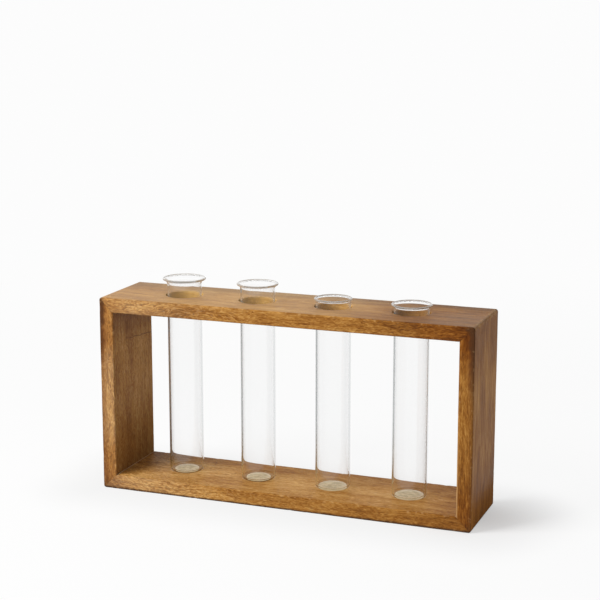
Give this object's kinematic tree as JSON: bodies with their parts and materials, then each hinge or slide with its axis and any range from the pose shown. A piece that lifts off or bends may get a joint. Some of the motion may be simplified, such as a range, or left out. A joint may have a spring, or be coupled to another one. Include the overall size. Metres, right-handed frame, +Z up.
{
  "type": "test tube vase",
  "caption": "Open rectangular wooden frame with mitred corners, holding lift-out glass test tubes upright in holes through its top board, as a vase for single stems.",
  "frame": {"origin": "on the table under the middle of the base board", "axes": "+X along the frame to the right seen from the front, +Y to the back, +Z up"},
  "size_m": [0.288, 0.066, 0.161],
  "materials": {
    "oiled_wood": "brown hardwood, oiled, with open grain and worn edges",
    "dowel_wood": "plain pale hardwood, unfinished",
    "clear_glass": "clear, fire polished"
  },
  "bodies": {
    "frame": {"top_board": "oiled_wood", "base_board": "oiled_wood", "left_side": "oiled_wood", "right_side": "oiled_wood", "dowel_top_left_front": "dowel_wood", "dowel_top_left_back": "dowel_wood", "dowel_top_right_front": "dowel_wood", "dowel_top_right_back": "dowel_wood", "dowel_base_left_front": "dowel_wood", "dowel_base_left_back": "dowel_wood", "dowel_base_right_front": "dowel_wood", "dowel_base_right_back": "dowel_wood"},
    "tube_1": {"glass_tube_1": "clear_glass"},
    "tube_2": {"glass_tube_2": "clear_glass"},
    "tube_3": {"glass_tube_3": "clear_glass"},
    "tube_4": {"glass_tube_4": "clear_glass"}
  },
  "joints": [
    {"name": "tube_1_lift", "type": "slide", "parent": "frame", "child": "tube_1", "axis": [0, 0, 1], "range_m": [0, 0.1395]},
    {"name": "tube_2_lift", "type": "slide", "parent": "frame", "child": "tube_2", "axis": [0, 0, 1], "range_m": [0, 0.1395]},
    {"name": "tube_3_lift", "type": "slide", "parent": "frame", "child": "tube_3", "axis": [0, 0, 1], "range_m": [0, 0.1395]},
    {"name": "tube_4_lift", "type": "slide", "parent": "frame", "child": "tube_4", "axis": [0, 0, 1], "range_m": [0, 0.1395]}
  ]
}
